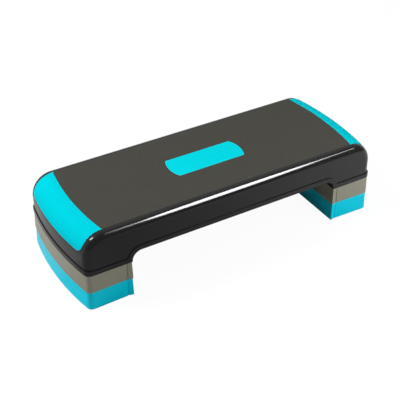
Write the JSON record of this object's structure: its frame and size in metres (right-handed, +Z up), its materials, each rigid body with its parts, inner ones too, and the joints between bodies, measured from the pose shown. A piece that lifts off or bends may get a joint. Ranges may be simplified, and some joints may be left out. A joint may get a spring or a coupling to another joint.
{
  "type": "aerobic step platform",
  "caption": "Low rectangular exercise step: a glossy moulded deck with a grip mat and end grips, on bowed legs that stand on stacked pull-off risers to change its height.",
  "frame": {"origin": "centre of the footprint, on the floor under the feet", "axes": "+X along the deck, +Y across it to the back, +Z up through the tread"},
  "size_m": [0.8118, 0.306, 0.195],
  "materials": {
    "deck_black": "glossy black moulded polypropylene",
    "mat_grey": "matte dark grey grip mat with a fine grain",
    "grip_turquoise": "satin turquoise grip rubber with a fine grain",
    "badge_turquoise": "plain satin turquoise plate",
    "riser_grey": "satin warm grey moulded polypropylene",
    "riser_turquoise": "satin turquoise moulded polypropylene",
    "foot_rubber": "matte black rubber"
  },
  "bodies": {
    "deck": {"deck_shell": "deck_black", "tread_mat": "mat_grey", "centre_badge": "badge_turquoise", "left_end_grip": "grip_turquoise", "right_end_grip": "grip_turquoise", "left_deck_foot_front_inner": "foot_rubber", "left_deck_foot_back_inner": "foot_rubber", "left_deck_foot_front_outer": "foot_rubber", "left_deck_foot_back_outer": "foot_rubber", "right_deck_foot_front_inner": "foot_rubber", "right_deck_foot_back_inner": "foot_rubber", "right_deck_foot_front_outer": "foot_rubber", "right_deck_foot_back_outer": "foot_rubber"},
    "left_upper_riser": {"left_upper_riser": "riser_grey", "left_upper_foot_front_inner": "foot_rubber", "left_upper_foot_back_inner": "foot_rubber", "left_upper_foot_front_outer": "foot_rubber", "left_upper_foot_back_outer": "foot_rubber"},
    "left_lower_riser": {"left_lower_riser": "riser_turquoise", "left_lower_foot_front_inner": "foot_rubber", "left_lower_foot_back_inner": "foot_rubber", "left_lower_foot_front_outer": "foot_rubber", "left_lower_foot_back_outer": "foot_rubber"},
    "right_upper_riser": {"right_upper_riser": "riser_grey", "right_upper_foot_front_inner": "foot_rubber", "right_upper_foot_back_inner": "foot_rubber", "right_upper_foot_front_outer": "foot_rubber", "right_upper_foot_back_outer": "foot_rubber"},
    "right_lower_riser": {"right_lower_riser": "riser_turquoise", "right_lower_foot_front_inner": "foot_rubber", "right_lower_foot_back_inner": "foot_rubber", "right_lower_foot_front_outer": "foot_rubber", "right_lower_foot_back_outer": "foot_rubber"}
  },
  "joints": [
    {"name": "left_upper_riser_pull", "type": "slide", "parent": "deck", "child": "left_upper_riser", "axis": [0, 0, -1], "range_m": [0, 0.06]},
    {"name": "left_lower_riser_pull", "type": "slide", "parent": "left_upper_riser", "child": "left_lower_riser", "axis": [0, 0, -1], "range_m": [0, 0.06]},
    {"name": "right_upper_riser_pull", "type": "slide", "parent": "deck", "child": "right_upper_riser", "axis": [0, 0, -1], "range_m": [0, 0.06]},
    {"name": "right_lower_riser_pull", "type": "slide", "parent": "right_upper_riser", "child": "right_lower_riser", "axis": [0, 0, -1], "range_m": [0, 0.06]}
  ]
}
